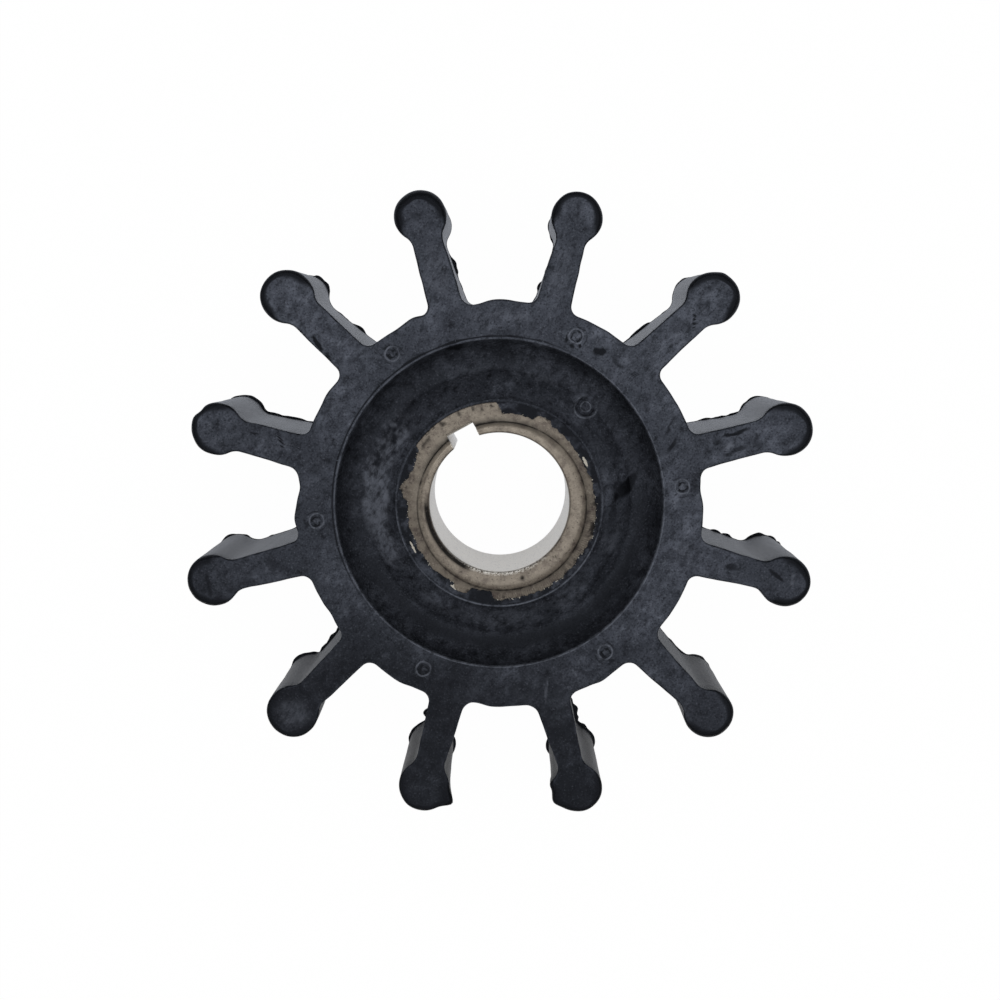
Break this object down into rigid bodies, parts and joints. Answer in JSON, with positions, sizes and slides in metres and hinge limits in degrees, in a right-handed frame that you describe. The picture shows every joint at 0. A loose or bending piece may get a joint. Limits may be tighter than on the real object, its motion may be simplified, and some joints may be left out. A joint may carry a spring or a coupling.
{
  "type": "rubber pump impeller",
  "caption": "Flexible rubber pump impeller: a dished round hub with straight radial vanes ending in round beads, moulded round a keyed metal bush.",
  "frame": {"origin": "on the shaft axis, in the plane of the back running face, on which the impeller rests", "axes": "+Z along the shaft axis, towards the front running face; +Y through the middle of a gap between two vanes, 28.5 degrees clockwise from the keyway seen from the front"},
  "size_m": [0.0842, 0.0842, 0.03],
  "materials": {
    "moulded_rubber": "moulded black nitrile rubber, dull, with a chalky bloom",
    "bush_metal": "turned brass bush with a pale bonding coat, dull champagne ends and a bright bore"
  },
  "bodies": {
    "root": {"rubber_body": "moulded_rubber", "hub_bush": "bush_metal"}
  },
  "joints": []
}
